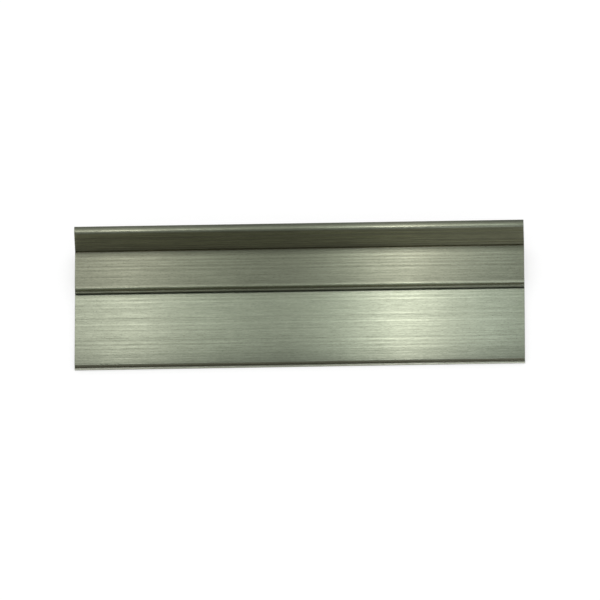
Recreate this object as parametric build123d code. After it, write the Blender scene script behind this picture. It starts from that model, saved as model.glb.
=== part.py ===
"""A cut length of aluminium cabinet handle profile: one extruded piece, in millimetres.

The bar lies on its mounting plate, as it rests unheld on a level floor. +X runs along the bar, +Y
from the plate's free edge to the grip flange, and +Z is up. The origin is on the floor, under the
middle of the bar.

Across the bar, from the front, come a low toe, the wide flat plate, a step up to a narrower shelf
whose nose overhangs the plate by a shallow slot, a fine groove, and the grip flange that stands up
along the back, its top edge well rounded towards the back.
"""

from build123d import *
import os

# The bar is sawn square to this length.
bar_length = 120.0

# The mounting plate is the wide flat face. Its width runs from its free edge to the shelf's nose.
plate_width = 24.4
plate_thickness = 1.9

# The toe is the low ledge in front of the plate's free edge.
toe_width = 0.4
toe_thickness = 0.55

# The shelf is the narrower flat face. Its width runs from its nose to the grip flange.
shelf_width = 13.0
shelf_thickness = 2.0

# The slot is the shadow gap under the shelf's nose, closed at the back by the web.
slot_height = 0.5
slot_depth = 1.8
web_thickness = 2.0

# The grip flange stands on the shelf. Its height is measured from the shelf's top face.
flange_height = 7.75
flange_thickness = 2.7

# The foot groove is cut into the shelf along the foot of the grip flange.
foot_groove_width = 0.4
foot_groove_depth = 0.4

# Roundings of the section's corners.
toe_radius = 0.15
toe_root_radius = 0.1
free_edge_radius = 0.15
plate_heel_radius = 0.5
web_corner_radius = 0.5
slot_root_radius = 0.2
nose_top_radius = 0.45
nose_bottom_radius = 0.2
foot_groove_radius = 0.08
flange_foot_radius = 0.9
flange_front_radius = 0.4
flange_back_radius = 1.2

# A rounding takes up no more than this share of the wall or gap beside it.
LARGEST_SHARE = 0.45


def limited(radius, *walls):
    """The radius, or as much of it as the walls beside the corner can hold."""
    return min(radius, *(LARGEST_SHARE * wall for wall in walls))


def section_corners():
    """The section's corners as (across, up, radius), from the toe's foot and back round to it."""
    free_edge = toe_width
    nose = free_edge + plate_width
    web_front = nose + slot_depth
    web_back = web_front + web_thickness
    flange_front = nose + shelf_width
    groove_front = flange_front - foot_groove_width
    back = flange_front + flange_thickness
    slot_top = plate_thickness + slot_height
    shelf_top = slot_top + shelf_thickness
    groove_floor = shelf_top - foot_groove_depth
    top = shelf_top + flange_height
    riser = plate_thickness - toe_thickness
    under_shelf = back - web_back
    toe_rounding = limited(toe_radius, toe_width, toe_thickness)
    slot_rounding = limited(slot_root_radius, slot_height, slot_depth)
    groove_rounding = limited(foot_groove_radius, foot_groove_width, foot_groove_depth)
    return [
        (0, 0, toe_rounding),
        (web_back, 0, limited(plate_heel_radius, slot_top, web_thickness)),
        (web_back, slot_top, limited(web_corner_radius, slot_top, under_shelf)),
        (back, slot_top, limited(flange_foot_radius, shelf_thickness, under_shelf)),
        (back, top, limited(flange_back_radius, flange_thickness, flange_height)),
        (flange_front, top, limited(flange_front_radius, flange_thickness, flange_height)),
        (flange_front, groove_floor, groove_rounding),
        (groove_front, groove_floor, groove_rounding),
        (groove_front, shelf_top, groove_rounding),
        (nose, shelf_top, limited(nose_top_radius, shelf_thickness, shelf_width)),
        (nose, slot_top, limited(nose_bottom_radius, shelf_thickness, slot_depth)),
        (web_front, slot_top, slot_rounding),
        (web_front, plate_thickness, slot_rounding),
        (free_edge, plate_thickness, limited(free_edge_radius, riser, plate_width)),
        (free_edge, toe_thickness, limited(toe_root_radius, riser, toe_width)),
        (0, toe_thickness, toe_rounding),
    ]


def handle_profile():
    """The whole bar: its section, drawn across the bar, extruded half the length each way."""
    corners = section_corners()
    half_width = max(across for across, up, radius in corners) / 2
    points = [(across - half_width, up) for across, up, radius in corners]
    radii = [radius for across, up, radius in corners]
    with BuildPart() as bar:
        with BuildSketch(Plane.YZ):
            with BuildLine():
                FilletPolyline(*points, radius=radii, close=True)
            make_face()
        extrude(amount=bar_length / 2, both=True)
    return bar.part


os.makedirs("parts", exist_ok=True)
export_step(handle_profile(), "parts/handle_profile.step")
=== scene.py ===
"""A cut length of cabinet handle profile, extruded in aluminium, brushed and anodised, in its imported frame.

The bar lies on its mounting plate on a pale floor. +X runs along it, +Y from its toe to its grip
flange, and +Z is up. Sizes are in millimetres where a name ends in _mm and in the section's values,
and in metres otherwise.
"""

import math

import bpy
from mathutils import Matrix, Vector, noise

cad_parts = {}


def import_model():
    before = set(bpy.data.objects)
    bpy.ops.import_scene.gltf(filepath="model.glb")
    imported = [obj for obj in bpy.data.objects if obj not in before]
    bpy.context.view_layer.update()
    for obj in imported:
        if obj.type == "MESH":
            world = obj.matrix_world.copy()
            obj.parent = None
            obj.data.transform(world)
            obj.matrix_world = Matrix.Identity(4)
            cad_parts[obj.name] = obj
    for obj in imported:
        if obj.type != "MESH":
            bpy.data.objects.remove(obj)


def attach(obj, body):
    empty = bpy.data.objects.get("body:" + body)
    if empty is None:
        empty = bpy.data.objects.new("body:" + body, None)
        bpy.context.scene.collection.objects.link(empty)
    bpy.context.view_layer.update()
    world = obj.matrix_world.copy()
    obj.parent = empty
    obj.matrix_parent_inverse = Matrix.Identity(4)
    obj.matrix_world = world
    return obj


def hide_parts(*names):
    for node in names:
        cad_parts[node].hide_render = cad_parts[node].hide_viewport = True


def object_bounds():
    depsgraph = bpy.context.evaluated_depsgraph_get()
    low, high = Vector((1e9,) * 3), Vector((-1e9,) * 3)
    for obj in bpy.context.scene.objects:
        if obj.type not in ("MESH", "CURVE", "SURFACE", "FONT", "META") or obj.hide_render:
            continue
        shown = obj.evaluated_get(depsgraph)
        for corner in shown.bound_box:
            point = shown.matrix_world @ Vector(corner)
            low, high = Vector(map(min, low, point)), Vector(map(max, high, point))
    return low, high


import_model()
cad_low, cad_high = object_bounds()

MM = 0.001

# The section's walls and gaps in millimetres, as the extrusion die has them.
toe_width = 0.4
toe_thickness = 0.55
plate_width = 24.4
plate_thickness = 1.9
slot_height = 0.5
slot_depth = 1.8
web_thickness = 2.0
shelf_width = 13.0
shelf_thickness = 2.0
nose_lip_width = 0.25
nose_lip_height = 0.5
foot_groove_width = 0.47
foot_groove_depth = 0.4
crown_ridge_inset = 1.0
crown_fall = 0.62
nose_undercut = 0.15
riser_undercut = 0.12

# The radii of its corners in millimetres.
toe_radius = 0.15
toe_root_radius = 0.1
free_edge_radius = 0.15
plate_heel_radius = 0.5
web_corner_radius = 0.5
slot_root_radius = 0.2
nose_top_radius = 0.38
nose_lip_radius = 0.04
nose_bottom_radius = 0.15
foot_groove_radius = 0.08
flange_foot_radius = 0.9
flange_front_radius = 0.6
flange_back_radius = 0.45
crown_ridge_radius = 2.0

# The bar's length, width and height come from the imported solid.
bar_length_mm = (cad_high.x - cad_low.x) / MM
bar_width_mm = (cad_high.y - cad_low.y) / MM
bar_height_mm = cad_high.z / MM

# A corner's arc is drawn in steps no larger than this.
arc_step = math.radians(9)

# Faces that meet at more than this have a sharp edge between them.
sharp_angle = math.radians(35)

# The die leaves fine and broad lines along the flats, which fade out beside the corners.
die_line_depth_mm = 0.003
fine_line_width_mm = 0.44
fine_line_share = 0.6
broad_line_width_mm = 1.98
broad_line_share = 0.5
die_line_fade_mm = 1.0

# Points across a flat lie about this far apart, close enough to follow its lines.
flat_step_mm = 0.11

# The sawn ends are deburred: each step is (distance from the end, depth of the cut) in millimetres.
deburr_steps_mm = [(0.0, 0.07), (0.02, 0.025), (0.07, 0.0), (0.12, 0.0)]

# Names of the bar's finishes, in the order of its material slots. The darker colours of the shelf,
# edge and die finishes are partly painted shade.
PLATE, SHELF, EDGE, DIE_FINISH_PAINTED_SHADE, RUBBED, SAWN = range(6)

# Streaks of each finish as (width, length, weight): long lines, and shorter marks among them. The
# finest real scratches, about 0.05 mm wide, are too fine to show, so the narrowest streaks here are
# drawn about as wide as a dot of the picture.
brushed_lines_mm = [(0.7, 400, 0.6), (1.6, 400, 0.3)]
brushed_marks_mm = [(0.35, 60, 0.3), (0.45, 8.0, 0.5), (0.4, 2.5, 0.5), (0.3, 0.8, 0.6), (4.0, 9.0, 0.2)]
die_lines_mm = [(0.33, 400, 1.5), (1.0, 300, 1.2)]
die_marks_mm = [(0.35, 30, 1.2), (0.3, 5.0, 0.8), (3.0, 20, 0.5)]

# The depth of the streaks' relief. On the plate and the shelf it is deeper than real scratches are,
# as the streaks are wider. The shorter marks have only a small share of it.
plate_groove_depth_mm = 0.06
shelf_groove_depth_mm = 0.075
die_groove_depth_mm = 0.006
mark_depth_share = 0.08

# How rough the metal is, and how much smoother its palest lines and marks are.
plain_roughness = 0.356
skimmed_roughness = 0.27
line_smoothing = 0.2
mark_smoothing = 0.05

# Small dark pits in the anodising. Their noise passes the first value at a pit's edge, and the
# second where the pit has its full tone.
pit_width_mm = 0.3
pit_length_mm = 0.45
pit_edge = 0.76
pit_floor = 0.84
pit_tone = 0.72

# How light each flat is across the bar, as (millimetres from the bar's middle, tone). These tones are
# painted light and shade, which the lamps don't give.
# The plate: painted shade darkening it towards its free edge, a painted shadow under the nose's lip, and
# painted light making it paler beside the nose.
plate_painted_shading = [
    (-20.2, 0.41), (-17.7, 0.51), (-16.0, 0.57), (-13.5, 0.65), (-9.5, 0.71), (-6.6, 0.74),
    (0.4, 0.775), (2.2, 0.82), (2.8, 0.86), (3.4, 0.94), (3.9, 1.0), (4.3, 1.0), (4.42, 0.4),
]
# The shelf and the crown: painted shade at the lip under the nose, across the shelf's front, in the flange's
# shadow at its back, in the foot groove, and where the crown falls away behind its ridge.
shelf_painted_shading = [
    (4.2, 0.45), (4.31, 0.45), (4.36, 1.0), (4.7, 0.9), (4.9, 0.88), (5.4, 0.68), (7.5, 0.775),
    (10.2, 0.81), (12.0, 0.875), (14.0, 0.93), (15.0, 1.0), (16.2, 0.86), (17.2, 0.8), (17.5, 0.5),
    (17.8, 0.58), (18.15, 0.85), (18.3, 0.92), (18.8, 0.64), (19.2, 0.44), (19.8, 0.4),
]
# The edges: painted shade, darker on the riser at the free edge than on the nose.
edge_painted_shading = [(-19.8, 0.52), (-18.0, 0.62), (4.0, 0.77), (5.0, 0.77)]
# The die-finished faces: painted shade, a little darker at the toe and much darker near the back.
die_painted_shading = [(-19.8, 0.85), (-18.0, 0.9), (18.5, 0.9), (19.3, 0.6)]
rubbed_tones = [(-20.2, 1.0), (20.2, 1.0)]

# The saw blade's centre, across from the bar's middle and up from the floor, and the rings that it
# leaves on the ends. They wobble a little, and come and go in patches.
blade_centre_mm = (-40.0, 130.0, 0.0)
saw_mark_pitch_mm = 0.45
saw_mark_depth_mm = 0.01
saw_mark_wobble = 1.2
saw_wobble_detail = 2.0
saw_wobble_scale = 0.3
saw_patch_width_mm = 2.5
saw_patch_height_mm = 1.5
sawn_roughness = 0.46
saw_mark_smoothing = 0.12

# At a scale of 1, Blender's wave texture runs through this many radians in one unit.
wave_radians = 20

# The floor is a wide board just under the bar, with a glow that makes up what white needs.
floor_half_width = 3.0
floor_gap = 0.00002
floor_glow = 0.58

# The strength of the pale room's own light.
room_light = 0.80

# The upper lamps hang at this angle up from the floor in front of the bar, so a little behind it.
upper_lamp_angle = math.radians(97)
overhead_distance = 0.7
overhead_size = 0.35
overhead_power = 0.27
strip_distance = 0.24
strip_width = 0.004
strip_length = 0.12

# The low lamps stand in front of the bar and light the faces that look forward.
low_lamp_distance = 0.30
low_lamp_height = 0.015
low_lamp_aim_height = 0.01
low_lamp_size_up = 0.02

# The camera looks down on the bar through a long lens, at a point this far right of its middle and
# this high above the floor.
camera_elevation = math.radians(50.1)
camera_azimuth = math.radians(1.73)
camera_roll = math.radians(2.25)
camera_lens_mm = 1500
sensor_width_mm = 36
picture_width_px = 600
px_per_mm = 3.75
aim_along_mm = 0.12
aim_height_mm = 3.63


def linear(hex_colour):
    """The linear RGBA value of an sRGB hex colour."""
    channels = [int(hex_colour[i : i + 2], 16) / 255 for i in (1, 3, 5)]
    return [c / 12.92 if c <= 0.04045 else ((c + 0.055) / 1.055) ** 2.4 for c in channels] + [1.0]


def section_corners():
    """The section's corners, from the toe's foot along the underside and back over the flange.

    Each is (across, up, radius, the rounding's finish, the finish of the face that follows).
    """
    free_edge = toe_width
    nose = free_edge + plate_width
    lip = nose - nose_lip_width
    web_front = nose + slot_depth
    web_back = web_front + web_thickness
    flange_front = nose + shelf_width
    groove_front = flange_front - foot_groove_width
    back = bar_width_mm
    slot_top = plate_thickness + slot_height
    lip_top = slot_top + nose_lip_height
    shelf_top = slot_top + shelf_thickness
    groove_floor = shelf_top - foot_groove_depth
    top = bar_height_mm
    return [
        (0, 0, toe_radius, DIE_FINISH_PAINTED_SHADE, DIE_FINISH_PAINTED_SHADE),
        (web_back, 0, plate_heel_radius, DIE_FINISH_PAINTED_SHADE, DIE_FINISH_PAINTED_SHADE),
        (web_back, slot_top, web_corner_radius, DIE_FINISH_PAINTED_SHADE, DIE_FINISH_PAINTED_SHADE),
        (back, slot_top, flange_foot_radius, PLATE, PLATE),
        (back, top - crown_fall, flange_back_radius, SHELF, SHELF),
        (flange_front + crown_ridge_inset, top, crown_ridge_radius, SHELF, SHELF),
        (flange_front, top, flange_front_radius, SHELF, DIE_FINISH_PAINTED_SHADE),
        (flange_front, groove_floor, foot_groove_radius, DIE_FINISH_PAINTED_SHADE, DIE_FINISH_PAINTED_SHADE),
        (groove_front, groove_floor, foot_groove_radius, DIE_FINISH_PAINTED_SHADE, DIE_FINISH_PAINTED_SHADE),
        (groove_front, shelf_top, foot_groove_radius, SHELF, SHELF),
        (nose, shelf_top, nose_top_radius, SHELF, EDGE),
        (nose + nose_undercut, lip_top, nose_lip_radius, SHELF, SHELF),
        (lip, lip_top, nose_lip_radius, SHELF, SHELF),
        (lip, slot_top, nose_bottom_radius, DIE_FINISH_PAINTED_SHADE, DIE_FINISH_PAINTED_SHADE),
        (web_front, slot_top, slot_root_radius, DIE_FINISH_PAINTED_SHADE, DIE_FINISH_PAINTED_SHADE),
        (web_front, plate_thickness, slot_root_radius, DIE_FINISH_PAINTED_SHADE, PLATE),
        (free_edge, plate_thickness, free_edge_radius, PLATE, EDGE),
        (free_edge + riser_undercut, toe_thickness, toe_root_radius, EDGE, RUBBED),
        (0, toe_thickness, toe_radius, RUBBED, RUBBED),
    ]


def arc_points(before, corner, after, radius):
    """The arc that rounds one corner, as (point, outward direction) pairs."""
    arriving = (corner - before).normalized()
    leaving = (after - corner).normalized()
    turn = arriving.angle_signed(leaving) * -1
    side = math.copysign(1, turn)
    outward = Vector((arriving.y, -arriving.x))
    start = corner - arriving * radius * math.tan(abs(turn) / 2)
    centre = start - outward * radius * side
    steps = max(1, math.ceil(abs(turn) / arc_step))
    directions = [Matrix.Rotation(turn * i / steps, 2) @ outward for i in range(steps + 1)]
    return [(centre + direction * radius * side, direction) for direction in directions]


def die_line_relief(distance_mm, face):
    """How far the die's lines are cut below a face, given by its number, at a place across it."""
    # The fine and the broad lines come from two layers of the noise, so they don't follow each other.
    fine_layer, broad_layer = 0, 5
    fine = noise.noise(Vector((distance_mm / fine_line_width_mm, face, fine_layer)))
    broad = noise.noise(Vector((distance_mm / broad_line_width_mm, face, broad_layer)))
    depth = 0.5 + fine_line_share * fine + broad_line_share * broad
    return die_line_depth_mm * min(1, max(0, depth))


def flat_points(start, end, face):
    """Points across a flat face between two arcs, cut back by its die lines, as (point, outward) pairs."""
    along = (end - start).normalized()
    outward = Vector((along.y, -along.x))
    width = (end - start).length
    steps = int(width / flat_step_mm)
    points = []
    for i in range(1, steps):
        distance = width * i / steps
        fade = min(1, distance / die_line_fade_mm, (width - distance) / die_line_fade_mm)
        relief = die_line_relief(distance, face) * fade
        points.append((start + along * distance - outward * relief, outward))
    return points


def section_outline():
    """The whole outline, counterclockwise, as (point, outward direction, finish) in millimetres."""
    corners = section_corners()
    places = [Vector((corner[0] - bar_width_mm / 2, corner[1])) for corner in corners]
    arcs = []
    for i, corner in enumerate(corners):
        after = places[(i + 1) % len(places)]
        arcs.append(arc_points(places[i - 1], places[i], after, corner[2]))
    outline = []
    for i, arc in enumerate(arcs):
        rounding_finish, face_finish = corners[i][3:]
        following = arcs[(i + 1) % len(arcs)][0][0]
        outline += [(point, outward, rounding_finish) for point, outward in arc[:-1]]
        face = [arc[-1]] + flat_points(arc[-1][0], following, i)
        outline += [(point, outward, face_finish) for point, outward in face]
    return outline


def bar_mesh():
    """The extruded bar, with its long faces, deburred edges and sawn ends."""
    outline = section_outline()
    half_length = bar_length_mm / 2
    stations = [(distance - half_length, cut) for distance, cut in deburr_steps_mm]
    stations += [(half_length - distance, cut) for distance, cut in reversed(deburr_steps_mm)]
    count = len(outline)
    verts = []
    for x, cut in stations:
        for point, outward, finish in outline:
            edge = point - outward * cut
            verts.append((x * MM, edge.x * MM, edge.y * MM))
    run = [0.0]
    for i in range(count):
        run.append(run[-1] + (outline[(i + 1) % count][0] - outline[i][0]).length)
    faces, finishes, uvs = [], [], []
    for ring in range(len(stations) - 1):
        low, low_cut = stations[ring]
        high, high_cut = stations[ring + 1]
        bevelled = low_cut != high_cut
        for i in range(count):
            following = (i + 1) % count
            first, second = ring * count, (ring + 1) * count
            faces.append((first + i, first + following, second + following, second + i))
            finishes.append(SAWN if bevelled else outline[i][2])
            uvs += [(run[i], low), (run[i + 1], low), (run[i + 1], high), (run[i], high)]
    last = (len(stations) - 1) * count
    for ring, order in ((0, reversed(range(count))), (last, range(count))):
        loop = [ring + i for i in order]
        faces.append(loop)
        finishes.append(SAWN)
        uvs += [(verts[i][1] / MM, verts[i][2] / MM) for i in loop]
    mesh = bpy.data.meshes.new("handle_bar")
    mesh.from_pydata(verts, [], [tuple(face) for face in faces])
    # One unit of this map is the bar's length.
    layer = mesh.uv_layers.new(name="across_and_along")
    for loop_uv, (u, v) in zip(layer.data, uvs):
        loop_uv.uv = (u / bar_length_mm, v / bar_length_mm)
    mesh.polygons.foreach_set("material_index", finishes)
    mesh.polygons.foreach_set("use_smooth", [True] * len(faces))
    mesh.set_sharp_from_angle(angle=sharp_angle)
    mesh.update()
    return mesh


def add_node(tree, kind, inputs=None, **settings):
    """Adds one node with its settings, and fills or links its inputs."""
    made = tree.nodes.new(kind)
    for name, value in settings.items():
        setattr(made, name, value)
    for name, value in (inputs or {}).items():
        if isinstance(value, bpy.types.NodeSocket):
            tree.links.new(value, made.inputs[name])
        else:
            made.inputs[name].default_value = value
    return made


def new_material(name):
    """An empty material with an output, as (material, node tree, output)."""
    material = bpy.data.materials.new(name)
    material.use_nodes = True
    material.node_tree.nodes.clear()
    return material, material.node_tree, add_node(material.node_tree, "ShaderNodeOutputMaterial")


def place_in_mm(tree):
    """The place in millimetres: around and along the bar on its long faces, across and up on its ends."""
    unrolled = add_node(tree, "ShaderNodeUVMap", uv_map="across_and_along")
    scaled = add_node(
        tree,
        "ShaderNodeVectorMath",
        {0: unrolled.outputs["UV"], 1: (bar_length_mm, bar_length_mm, 0)},
        operation="MULTIPLY",
    )
    return scaled.outputs["Vector"]


def streaks(tree, place, width_mm, length_mm):
    """Soft streaks of about this width and length, as a value on either side of 0.5."""
    stretched = add_node(
        tree,
        "ShaderNodeVectorMath",
        {0: place, 1: (1 / width_mm, 1 / length_mm, 0)},
        operation="MULTIPLY",
    )
    texture = add_node(
        tree,
        "ShaderNodeTexNoise",
        {"Vector": stretched.outputs["Vector"], "Scale": 1.0, "Detail": 0.0},
        noise_dimensions="2D",
    )
    return texture.outputs["Fac"]


def streak_sum(tree, place, layers):
    """Layers of streaks, each (width, length, weight) in millimetres, added up about zero."""
    total = -0.5 * sum(weight for width, length, weight in layers)
    for width, length, weight in layers:
        value = streaks(tree, place, width, length)
        added = add_node(tree, "ShaderNodeMath", {0: value, 1: weight, 2: total}, operation="MULTIPLY_ADD")
        total = added.outputs["Value"]
    return total


def painted_shading_across(tree, stops):
    """Painted light and shade across the bar, as a tone: stops are (millimetres from its middle, tone)."""
    place = add_node(tree, "ShaderNodeTexCoord")
    axes = add_node(tree, "ShaderNodeSeparateXYZ", {"Vector": place.outputs["Object"]})
    half_width = bar_width_mm / 2 * MM
    share = add_node(
        tree,
        "ShaderNodeMapRange",
        {"Value": axes.outputs["Y"], "From Min": -half_width, "From Max": half_width},
    )
    ramp = add_node(tree, "ShaderNodeValToRGB", {"Fac": share.outputs["Result"]})
    elements = ramp.color_ramp.elements
    while len(elements) < len(stops):
        elements.new(1.0)
    for element, (distance_mm, tone) in zip(elements, stops):
        element.position = distance_mm / bar_width_mm + 0.5
        element.color = (tone, tone, tone, 1)
    return ramp.outputs["Color"]


def anodised_aluminium(name, dark, pale, line_layers, mark_layers, depth_mm, painted_shading_stops, mean_roughness):
    """Anodised aluminium with fine lines along the bar, between two tones.

    Each line is a shallow groove, so a lamp spreads into a wide band across the lines and stays
    narrow along them. The paler lines and marks stand a little higher, and are a little smoother.
    The colour is then multiplied by painted light and shade across the bar.
    """
    material, tree, output = new_material(name)
    place = place_in_mm(tree)
    lines = streak_sum(tree, place, line_layers)
    marks = streak_sum(tree, place, mark_layers)
    streaky = add_node(tree, "ShaderNodeMath", {0: lines, 1: marks}, operation="ADD")
    share = add_node(
        tree,
        "ShaderNodeMath",
        {0: streaky.outputs["Value"], 1: 0.5},
        operation="ADD",
        use_clamp=True,
    )
    metal = add_node(
        tree,
        "ShaderNodeMix",
        {0: share.outputs["Value"], 6: linear(dark), 7: linear(pale)},
        data_type="RGBA",
    )
    pits = add_node(
        tree,
        "ShaderNodeMapRange",
        {
            "Value": streaks(tree, place, pit_width_mm, pit_length_mm),
            "From Min": pit_edge,
            "From Max": pit_floor,
            "To Min": 1.0,
            "To Max": pit_tone,
        },
    )
    pitted = add_node(
        tree,
        "ShaderNodeVectorMath",
        {0: metal.outputs[2], "Scale": pits.outputs["Result"]},
        operation="SCALE",
    )
    # Painted light and shade across the bar.
    painted_shaded = add_node(
        tree,
        "ShaderNodeVectorMath",
        {0: pitted.outputs["Vector"], 1: painted_shading_across(tree, painted_shading_stops)},
        operation="MULTIPLY",
    )
    roughness = add_node(
        tree,
        "ShaderNodeMath",
        {0: marks, 1: -mark_smoothing, 2: mean_roughness},
        operation="MULTIPLY_ADD",
    )
    roughness = add_node(
        tree,
        "ShaderNodeMath",
        {0: lines, 1: -line_smoothing, 2: roughness.outputs["Value"]},
        operation="MULTIPLY_ADD",
    )
    height = add_node(
        tree,
        "ShaderNodeMath",
        {0: marks, 1: mark_depth_share, 2: lines},
        operation="MULTIPLY_ADD",
    )
    relief = add_node(
        tree,
        "ShaderNodeBump",
        {"Height": height.outputs["Value"], "Distance": depth_mm * MM},
    )
    tangent = add_node(tree, "ShaderNodeTangent", direction_type="UV_MAP", uv_map="across_and_along")
    shader = add_node(
        tree,
        "ShaderNodeBsdfPrincipled",
        {
            "Base Color": painted_shaded.outputs["Vector"],
            "Metallic": 1.0,
            "Roughness": roughness.outputs["Value"],
            "Anisotropic": 1.0,
            "Normal": relief.outputs["Normal"],
            "Tangent": tangent.outputs["Tangent"],
        },
    )
    tree.links.new(shader.outputs["BSDF"], output.inputs["Surface"])
    return material


def sawn_aluminium():
    """Bare aluminium, sawn across: pale, with the blade's shallow curved marks and no sheen of its own."""
    material, tree, output = new_material("sawn_aluminium")
    place = place_in_mm(tree)
    from_blade = add_node(tree, "ShaderNodeVectorMath", {0: place, 1: blade_centre_mm}, operation="SUBTRACT")
    marks = add_node(
        tree,
        "ShaderNodeTexWave",
        {
            "Vector": from_blade.outputs["Vector"],
            "Scale": math.tau / wave_radians / saw_mark_pitch_mm,
            "Distortion": saw_mark_wobble,
            "Detail": saw_wobble_detail,
            "Detail Scale": saw_wobble_scale,
        },
        wave_type="RINGS",
        rings_direction="Z",
    )
    patches = streaks(tree, place, saw_patch_width_mm, saw_patch_height_mm)
    height = add_node(
        tree,
        "ShaderNodeMath",
        {0: marks.outputs["Fac"], 1: patches},
        operation="MULTIPLY",
    )
    metal = add_node(
        tree,
        "ShaderNodeMix",
        {0: height.outputs["Value"], 6: linear("#9DA09C"), 7: linear("#C6C8C4")},
        data_type="RGBA",
    )
    roughness = add_node(
        tree,
        "ShaderNodeMath",
        {0: height.outputs["Value"], 1: -saw_mark_smoothing, 2: sawn_roughness},
        operation="MULTIPLY_ADD",
    )
    relief = add_node(
        tree,
        "ShaderNodeBump",
        {"Height": height.outputs["Value"], "Distance": saw_mark_depth_mm * MM},
    )
    shader = add_node(
        tree,
        "ShaderNodeBsdfPrincipled",
        {
            "Base Color": metal.outputs[2],
            "Metallic": 1.0,
            "Roughness": roughness.outputs["Value"],
            "Normal": relief.outputs["Normal"],
        },
    )
    tree.links.new(shader.outputs["BSDF"], output.inputs["Surface"])
    return material


def handle_bar():
    """The finished bar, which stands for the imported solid."""
    bar = bpy.data.objects.new("handle_bar", bar_mesh())
    bpy.context.scene.collection.objects.link(bar)
    for material in (
        # Brushed and anodised a greenish champagne grey: streaky, with lamps drawn out across the bar.
        anodised_aluminium(
            "brushed_plate_aluminium", "#848C79", "#9FA893",
            brushed_lines_mm, brushed_marks_mm, plate_groove_depth_mm, plate_painted_shading, plain_roughness,
        ),
        # The same anodising, a little warmer, and darker as painted shade where the flange keeps light off.
        anodised_aluminium(
            "brushed_shelf_aluminium_painted_shade", "#6E7362", "#848A77",
            brushed_lines_mm, brushed_marks_mm, shelf_groove_depth_mm, shelf_painted_shading, plain_roughness,
        ),
        # The brush only skims the narrow edges, so they are smoother and warmer still. Their darker colour is
        # painted shade, on faces that look forward.
        anodised_aluminium(
            "skimmed_edge_aluminium_painted_shade", "#6E6E5C", "#848571",
            brushed_lines_mm, brushed_marks_mm, die_groove_depth_mm, edge_painted_shading, skimmed_roughness,
        ),
        # Anodised as it left the die, where the brush can't reach, with long faint lines. Its dark colour is
        # painted shade, on the flange's face, in the slot and the groove, and underneath.
        anodised_aluminium(
            "die_finish_aluminium_painted_shade", "#575847", "#73745D",
            die_lines_mm, die_marks_mm, die_groove_depth_mm, die_painted_shading, plain_roughness,
        ),
        # Anodising rubbed thin along the toe: nearly bare and much paler.
        anodised_aluminium(
            "rubbed_toe_aluminium", "#8B8F81", "#A1A596",
            brushed_lines_mm, brushed_marks_mm, die_groove_depth_mm, rubbed_tones, plain_roughness,
        ),
        sawn_aluminium(),
    ):
        bar.data.materials.append(material)
    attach(bar, "root")
    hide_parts("handle_profile")


def floor():
    """A matt pale board under the bar, with a glow that makes it white to the camera and in the metal."""
    side = floor_half_width
    mesh = bpy.data.meshes.new("floor")
    corners = [(-side, -side), (side, -side), (side, side), (-side, side)]
    mesh.from_pydata([(x, y, -floor_gap) for x, y in corners], [], [(0, 1, 2, 3)])
    board = bpy.data.objects.new("floor", mesh)
    bpy.context.scene.collection.objects.link(board)
    material, tree, output = new_material("matt_pale_board")
    lit = add_node(tree, "ShaderNodeBsdfDiffuse", {"Color": linear("#C4C4C4")})
    path = add_node(tree, "ShaderNodeLightPath")
    seen = add_node(
        tree,
        "ShaderNodeMath",
        {0: path.outputs["Is Camera Ray"], 1: path.outputs["Is Glossy Ray"]},
        operation="ADD",
    )
    seen = add_node(
        tree,
        "ShaderNodeMath",
        {0: seen.outputs[0], 1: path.outputs["Is Transmission Ray"]},
        operation="ADD",
        use_clamp=True,
    )
    glow = add_node(tree, "ShaderNodeMath", {0: seen.outputs[0], 1: floor_glow}, operation="MULTIPLY")
    white = add_node(tree, "ShaderNodeEmission", {"Strength": glow.outputs[0]})
    both = add_node(tree, "ShaderNodeAddShader", {0: lit.outputs["BSDF"], 1: white.outputs["Emission"]})
    tree.links.new(both.outputs["Shader"], output.inputs["Surface"])
    mesh.materials.append(material)


def world():
    """The plain even light of a pale room."""
    room = bpy.data.worlds.new("pale_room")
    bpy.context.scene.world = room
    room.use_nodes = True
    background = room.node_tree.nodes["Background"]
    background.inputs["Color"].default_value = (1, 1, 1, 1)
    background.inputs["Strength"].default_value = room_light


def area_lamp(name, place, aim, size, power, colour="#FFFFFF", glossy_only=False):
    """A rectangular lamp, in metres and watts, that the camera doesn't see.

    One that is glossy only makes highlights on the metal and doesn't light the floor.
    """
    data = bpy.data.lights.new(name, "AREA")
    data.shape = "RECTANGLE"
    data.size, data.size_y = size
    data.energy = power
    data.color = linear(colour)[:3]
    lamp = bpy.data.objects.new(name, data)
    bpy.context.scene.collection.objects.link(lamp)
    lamp.location = place
    lamp.rotation_euler = (Vector(place) - Vector(aim)).to_track_quat("Z", "Y").to_euler()
    lamp.visible_camera = False
    lamp.visible_diffuse = not glossy_only


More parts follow.
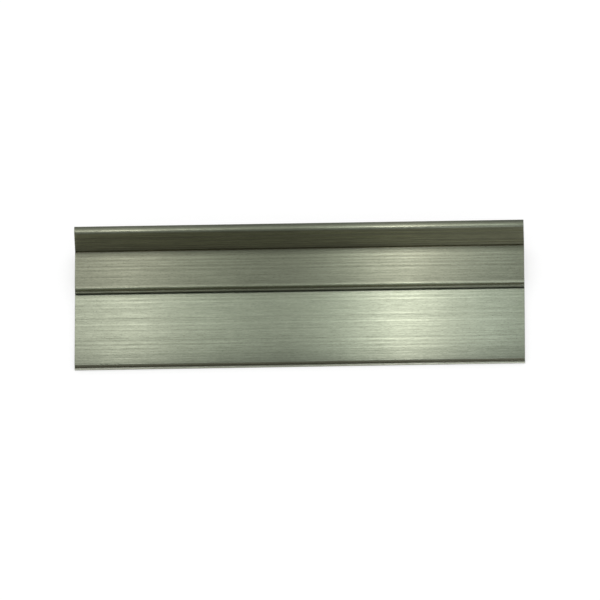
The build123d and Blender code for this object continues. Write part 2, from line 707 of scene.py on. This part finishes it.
def lamps():
    """A broad soft light above the bar, strips that lie across it as highlights, and two low lamps."""
    away = Vector((0, -math.cos(upper_lamp_angle), math.sin(upper_lamp_angle)))
    area_lamp("overhead", away * overhead_distance, (0, 0, 0), (overhead_size, overhead_size), overhead_power)
    rosy, plain, sea, sky, violet = "#FFF5F9", "#FFFFFF", "#E8F6F6", "#F0F6FF", "#F3F3FF"
    for name, x, power, colour in (
        ("strip_far_left", -0.0768, 0.043, rosy),
        ("strip_left", -0.0522, 0.070, rosy),
        ("strip_mid_left", -0.0305, 0.018, plain),
        ("strip_mid_right", 0.0117, 0.018, sea),
        ("strip_right", 0.025, 0.116, rosy),
        ("strip_far_right", 0.0481, 0.028, sky),
    ):
        place = Vector((x, 0, 0)) + away * strip_distance
        area_lamp(name, place, (x, 0, 0), (strip_width, strip_length), power, colour, glossy_only=True)
    for name, x, width, power in (
        ("low_right", 0.075, 0.1, 0.19),
        ("low_left", -0.085, 0.06, 0.033),
    ):
        place = (x, -low_lamp_distance, low_lamp_height)
        aim = (x, 0, low_lamp_aim_height)
        area_lamp(name, place, aim, (width, low_lamp_size_up), power, violet, glossy_only=True)


def camera():
    """The camera above the toe's side, turned and rolled a little as the photograph is."""
    data = bpy.data.cameras.new("camera")
    data.lens = camera_lens_mm
    data.sensor_width = sensor_width_mm
    distance = picture_width_px / px_per_mm * MM * camera_lens_mm / sensor_width_mm
    away = Vector((
        math.sin(camera_azimuth) * math.cos(camera_elevation),
        -math.cos(camera_azimuth) * math.cos(camera_elevation),
        math.sin(camera_elevation),
    ))
    holder = bpy.data.objects.new("camera", data)
    bpy.context.scene.collection.objects.link(holder)
    turned = away.to_track_quat("Z", "Y").to_matrix() @ Matrix.Rotation(-camera_roll, 3, "Z")
    holder.rotation_euler = turned.to_euler()
    holder.location = Vector((aim_along_mm, 0, aim_height_mm)) * MM + away * distance
    bpy.context.scene.camera = holder


handle_bar()
floor()
world()
lamps()
camera()
bpy.context.scene.view_settings.view_transform = "Standard"
